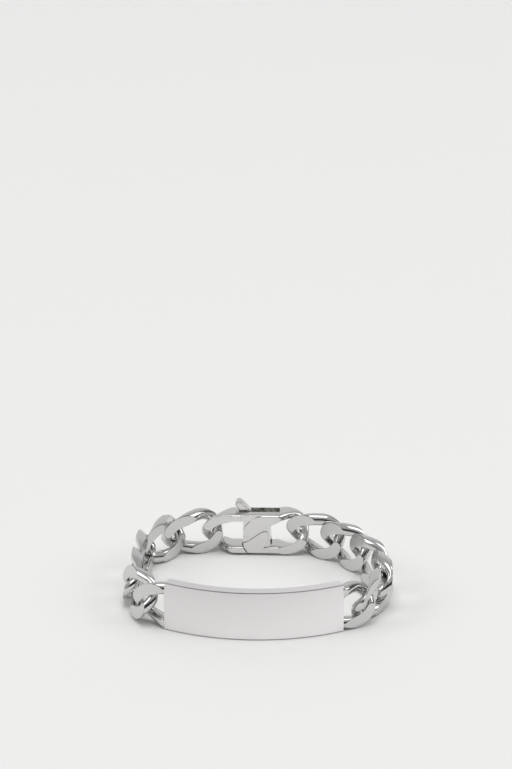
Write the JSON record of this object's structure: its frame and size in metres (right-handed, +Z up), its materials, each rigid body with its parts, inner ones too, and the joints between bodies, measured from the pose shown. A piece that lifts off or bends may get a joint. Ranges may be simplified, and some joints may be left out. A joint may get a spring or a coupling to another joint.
{
  "type": "link bracelet",
  "caption": "Identity bracelet closed in a loop on its edge: a long curved blank plate, twisted and filed curb links on both sides, and a clasp with a pivoting thumb lever behind.",
  "frame": {"origin": "middle of the whole bracelet, on the surface that its lower edge stands on", "axes": "+X along the plate to the right of a viewer who faces it, +Y from the plate towards the clasp, +Z up along the height of the plate and the links"},
  "size_m": [0.0684, 0.0513, 0.0146],
  "materials": {
    "plate_silver": "satin polish",
    "link_silver": "polished wire with filed flats",
    "clasp_silver": "polished",
    "pin_silver": "plain"
  },
  "bodies": {
    "bracelet": {"id_plate": "plate_silver", "link_right_1": "link_silver", "link_right_2": "link_silver", "link_right_3": "link_silver", "link_right_4": "link_silver", "link_right_5": "link_silver", "link_left_1": "link_silver", "link_left_2": "link_silver", "link_left_3": "link_silver", "link_left_4": "link_silver", "link_left_5": "link_silver", "clasp_body": "clasp_silver", "clasp_pin": "pin_silver"},
    "lever": {"clasp_lever": "clasp_silver"}
  },
  "joints": [
    {"name": "lever_hinge", "type": "hinge", "parent": "bracelet", "child": "lever", "pos_m": [-0.0013, 0.0234, 0.0042], "axis": [0, 1, 0], "range_deg": [0, 26], "stiffness_Nm_per_rad": 0.01, "springref_deg": -11.46}
  ]
}
